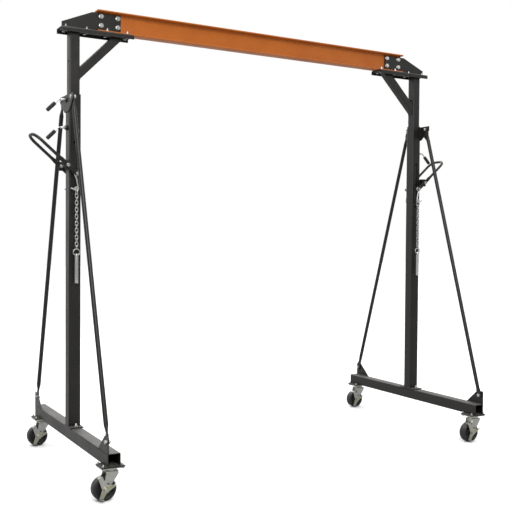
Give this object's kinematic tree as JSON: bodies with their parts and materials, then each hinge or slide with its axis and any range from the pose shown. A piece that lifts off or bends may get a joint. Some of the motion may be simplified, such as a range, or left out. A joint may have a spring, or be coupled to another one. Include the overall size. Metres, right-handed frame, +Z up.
{
  "type": "portable gantry crane",
  "caption": "Rolling gantry crane: an I-beam on telescoping square posts with braced base tubes, lever and chain lift, lock pins and swivel casters.",
  "frame": {"origin": "on the floor, midway between the towers and between the ends of the base tubes", "axes": "+Z up, +X along the beam towards the right tower, +Y towards the far side"},
  "size_m": [3.0624, 1.384, 2.68],
  "materials": {
    "beam_paint": "satin orange enamel over rolled steel",
    "frame_coat": "black powder coat with a fine orange peel",
    "zinc_plate": "bright zinc plate with a faint yellow passivation",
    "caster_zinc": "zinc-plated pressed steel",
    "wheel_black": "satin black moulded tread and core",
    "grip_rubber": "matt black dipped grip"
  },
  "bodies": {
    "left_frame": {"left_base_tube": "frame_coat", "left_base_lugs": "frame_coat", "left_foot_plate": "frame_coat", "left_outer_post": "frame_coat", "left_brace_bracket": "frame_coat", "left_outboard_fittings": "frame_coat", "left_front_brace": "frame_coat", "left_rear_brace": "frame_coat", "left_frame_bolts": "zinc_plate", "left_caster_plates": "caster_zinc"},
    "right_frame": {"right_base_tube": "frame_coat", "right_base_lugs": "frame_coat", "right_foot_plate": "frame_coat", "right_outer_post": "frame_coat", "right_brace_bracket": "frame_coat", "right_outboard_fittings": "frame_coat", "right_front_brace": "frame_coat", "right_rear_brace": "frame_coat", "right_frame_bolts": "zinc_plate", "right_caster_plates": "caster_zinc"},
    "lift_frame": {"i_beam": "beam_paint", "beam_bolts": "zinc_plate", "head_plates": "frame_coat", "left_saddle": "frame_coat", "left_gusset": "frame_coat", "left_inner_post": "frame_coat", "left_knee_brace": "frame_coat", "right_saddle": "frame_coat", "right_gusset": "frame_coat", "right_inner_post": "frame_coat", "right_knee_brace": "frame_coat"},
    "left_lower_lock": {"left_lower_lock_pin": "zinc_plate", "left_lower_lock_grip": "grip_rubber"},
    "left_upper_lock": {"left_upper_lock_pin": "zinc_plate", "left_upper_lock_grip": "grip_rubber"},
    "left_lever": {"left_lever": "frame_coat"},
    "left_hooks": {"left_lift_hooks": "zinc_plate"},
    "left_chain": {"left_chain": "zinc_plate"},
    "left_lift_pin": {"left_lift_pin": "zinc_plate"},
    "left_front_fork": {"left_front_fork": "caster_zinc"},
    "left_front_wheel": {"left_front_wheel": "wheel_black"},
    "left_front_brake": {"left_front_brake": "caster_zinc"},
    "left_rear_fork": {"left_rear_fork": "caster_zinc"},
    "left_rear_wheel": {"left_rear_wheel": "wheel_black"},
    "left_rear_brake": {"left_rear_brake": "caster_zinc"},
    "right_lower_lock": {"right_lower_lock_pin": "zinc_plate", "right_lower_lock_grip": "grip_rubber"},
    "right_upper_lock": {"right_upper_lock_pin": "zinc_plate", "right_upper_lock_grip": "grip_rubber"},
    "right_lever": {"right_lever": "frame_coat"},
    "right_hooks": {"right_lift_hooks": "zinc_plate"},
    "right_chain": {"right_chain": "zinc_plate"},
    "right_lift_pin": {"right_lift_pin": "zinc_plate"},
    "right_front_fork": {"right_front_fork": "caster_zinc"},
    "right_front_wheel": {"right_front_wheel": "wheel_black"},
    "right_front_brake": {"right_front_brake": "caster_zinc"},
    "right_rear_fork": {"right_rear_fork": "caster_zinc"},
    "right_rear_wheel": {"right_rear_wheel": "wheel_black"},
    "right_rear_brake": {"right_rear_brake": "caster_zinc"}
  },
  "joints": [
    {"name": "beam_lift", "type": "slide", "parent": "left_frame", "child": "lift_frame", "axis": [0, 0, 1], "range_m": [0, 1.28]},
    {"name": "right_post_slide", "type": "slide", "parent": "lift_frame", "child": "right_frame", "axis": [0, 0, -1], "range_m": [0, 1.28]},
    {"name": "left_lower_lock_slide", "type": "slide", "parent": "left_frame", "child": "left_lower_lock", "axis": [1, 0, 0], "range_m": [0, 0.028]},
    {"name": "left_upper_lock_slide", "type": "slide", "parent": "left_frame", "child": "left_upper_lock", "axis": [1, 0, 0], "range_m": [0, 0.028]},
    {"name": "left_lever_swing", "type": "hinge", "parent": "left_frame", "child": "left_lever", "pos_m": [-1.332, 0, 1.765], "axis": [0, -1, 0], "range_deg": [-40, 80]},
    {"name": "left_hook_swing", "type": "hinge", "parent": "left_lever", "child": "left_hooks", "pos_m": [-1.27842, 0, 1.71842], "axis": [0, -1, 0], "range_deg": [-80, 40]},
    {"name": "left_chain_swing", "type": "hinge", "parent": "left_hooks", "child": "left_chain", "pos_m": [-1.27842, -0.06, 1.63042], "axis": [0, -1, 0], "range_deg": [-20, 20]},
    {"name": "left_lift_pin_swing", "type": "hinge", "parent": "left_chain", "child": "left_lift_pin", "pos_m": [-1.27842, -0.06, 1.28302], "axis": [0, -1, 0], "range_deg": [-25, 25]},
    {"name": "left_front_swivel", "type": "hinge", "parent": "left_frame", "child": "left_front_fork", "pos_m": [-1.28, -0.635, 0.16], "axis": [0, 0, 1], "continuous": true},
    {"name": "left_front_wheel_spin", "type": "hinge", "parent": "left_front_fork", "child": "left_front_wheel", "pos_m": [-1.317, -0.635, 0.0635], "axis": [0, 1, 0], "continuous": true},
    {"name": "left_front_brake_rock", "type": "hinge", "parent": "left_front_fork", "child": "left_front_brake", "pos_m": [-1.317, -0.635, 0.0635], "axis": [0, 1, 0], "range_deg": [0, 10]},
    {"name": "left_rear_swivel", "type": "hinge", "parent": "left_frame", "child": "left_rear_fork", "pos_m": [-1.28, 0.635, 0.16], "axis": [0, 0, 1], "continuous": true},
    {"name": "left_rear_wheel_spin", "type": "hinge", "parent": "left_rear_fork", "child": "left_rear_wheel", "pos_m": [-1.317, 0.635, 0.0635], "axis": [0, 1, 0], "continuous": true},
    {"name": "left_rear_brake_rock", "type": "hinge", "parent": "left_rear_fork", "child": "left_rear_brake", "pos_m": [-1.317, 0.635, 0.0635], "axis": [0, 1, 0], "range_deg": [0, 10]},
    {"name": "right_lower_lock_slide", "type": "slide", "parent": "right_frame", "child": "right_lower_lock", "axis": [-1, 0, 0], "range_m": [0, 0.028]},
    {"name": "right_upper_lock_slide", "type": "slide", "parent": "right_frame", "child": "right_upper_lock", "axis": [-1, 0, 0], "range_m": [0, 0.028]},
    {"name": "right_lever_swing", "type": "hinge", "parent": "right_frame", "child": "right_lever", "pos_m": [1.332, 0, 1.765], "axis": [0, 1, 0], "range_deg": [-40, 80]},
    {"name": "right_hook_swing", "type": "hinge", "parent": "right_lever", "child": "right_hooks", "pos_m": [1.27842, 0, 1.71842], "axis": [0, 1, 0], "range_deg": [-80, 40]},
    {"name": "right_chain_swing", "type": "hinge", "parent": "right_hooks", "child": "right_chain", "pos_m": [1.27842, -0.06, 1.63042], "axis": [0, 1, 0], "range_deg": [-20, 20]},
    {"name": "right_lift_pin_swing", "type": "hinge", "parent": "right_chain", "child": "right_lift_pin", "pos_m": [1.27842, -0.06, 1.28302], "axis": [0, 1, 0], "range_deg": [-25, 25]},
    {"name": "right_front_swivel", "type": "hinge", "parent": "right_frame", "child": "right_front_fork", "pos_m": [1.28, -0.635, 0.16], "axis": [0, 0, 1], "continuous": true},
    {"name": "right_front_wheel_spin", "type": "hinge", "parent": "right_front_fork", "child": "right_front_wheel", "pos_m": [1.243, -0.635, 0.0635], "axis": [0, 1, 0], "continuous": true},
    {"name": "right_front_brake_rock", "type": "hinge", "parent": "right_front_fork", "child": "right_front_brake", "pos_m": [1.243, -0.635, 0.0635], "axis": [0, 1, 0], "range_deg": [0, 10]},
    {"name": "right_rear_swivel", "type": "hinge", "parent": "right_frame", "child": "right_rear_fork", "pos_m": [1.28, 0.635, 0.16], "axis": [0, 0, 1], "continuous": true},
    {"name": "right_rear_wheel_spin", "type": "hinge", "parent": "right_rear_fork", "child": "right_rear_wheel", "pos_m": [1.243, 0.635, 0.0635], "axis": [0, 1, 0], "continuous": true},
    {"name": "right_rear_brake_rock", "type": "hinge", "parent": "right_rear_fork", "child": "right_rear_brake", "pos_m": [1.243, 0.635, 0.0635], "axis": [0, 1, 0], "range_deg": [0, 10]}
  ],
  "couplings": [
    {"joint": "right_post_slide", "follows": "beam_lift", "ratio": 1},
    {"joint": "left_hook_swing", "follows": "left_lever_swing", "ratio": -1},
    {"joint": "right_hook_swing", "follows": "right_lever_swing", "ratio": -1}
  ]
}
